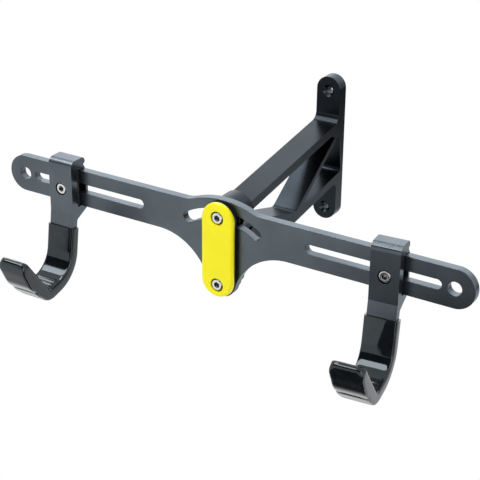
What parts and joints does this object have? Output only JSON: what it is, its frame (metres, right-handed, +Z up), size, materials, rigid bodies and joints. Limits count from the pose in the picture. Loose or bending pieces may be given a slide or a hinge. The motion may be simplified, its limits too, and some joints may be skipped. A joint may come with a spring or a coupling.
{
  "type": "bike wall hook",
  "caption": "Bicycle wall hook: a truss bracket carries a slotted bar that tilts and locks, with coated hooks that slide along it and clamp.",
  "frame": {"origin": "on the wall, midway between the two wall screw holes", "axes": "X along the wall and the crossbar, Y into the wall, Z up"},
  "size_m": [0.365, 0.2222, 0.1364],
  "materials": {
    "black_anodised": "satin black anodised",
    "slate_anodised": "satin slate grey anodised, with bright cut slot walls",
    "yellow_cap": "glossy yellow moulding",
    "black_rubber": "matt black",
    "black_nylon": "matt black moulding",
    "black_coat": "glossy black dipped PVC",
    "stainless": "turned stainless steel"
  },
  "bodies": {
    "bracket": {"wall_bracket": "black_anodised", "clamp_cap": "yellow_cap", "cap_base": "black_nylon", "rear_friction_pad": "black_nylon", "clamp_bolt": "stainless", "pivot_bolt": "stainless", "pivot_bush": "black_nylon", "slot_bush": "black_nylon"},
    "bar": {"crossbar": "slate_anodised"},
    "left_hook": {"hook_left": "slate_anodised", "hook_coat_left": "black_coat", "clamp_pad_left": "black_rubber", "hook_bolt_left": "stainless", "hook_washer_left": "stainless", "hook_nut_left": "stainless"},
    "right_hook": {"hook_right": "slate_anodised", "hook_coat_right": "black_coat", "clamp_pad_right": "black_rubber", "hook_bolt_right": "stainless", "hook_washer_right": "stainless", "hook_nut_right": "stainless"}
  },
  "joints": [
    {"name": "bar_tilt", "type": "hinge", "parent": "bracket", "child": "bar", "pos_m": [0, -0.152, -0.0483], "axis": [0, 1, 0], "range_deg": [-32.5, 32.5]},
    {"name": "left_hook_slide", "type": "slide", "parent": "bar", "child": "left_hook", "axis": [1, 0, 0], "range_m": [-0.028, 0.0626]},
    {"name": "right_hook_slide", "type": "slide", "parent": "bar", "child": "right_hook", "axis": [1, 0, 0], "range_m": [-0.0573, 0.0328]}
  ]
}
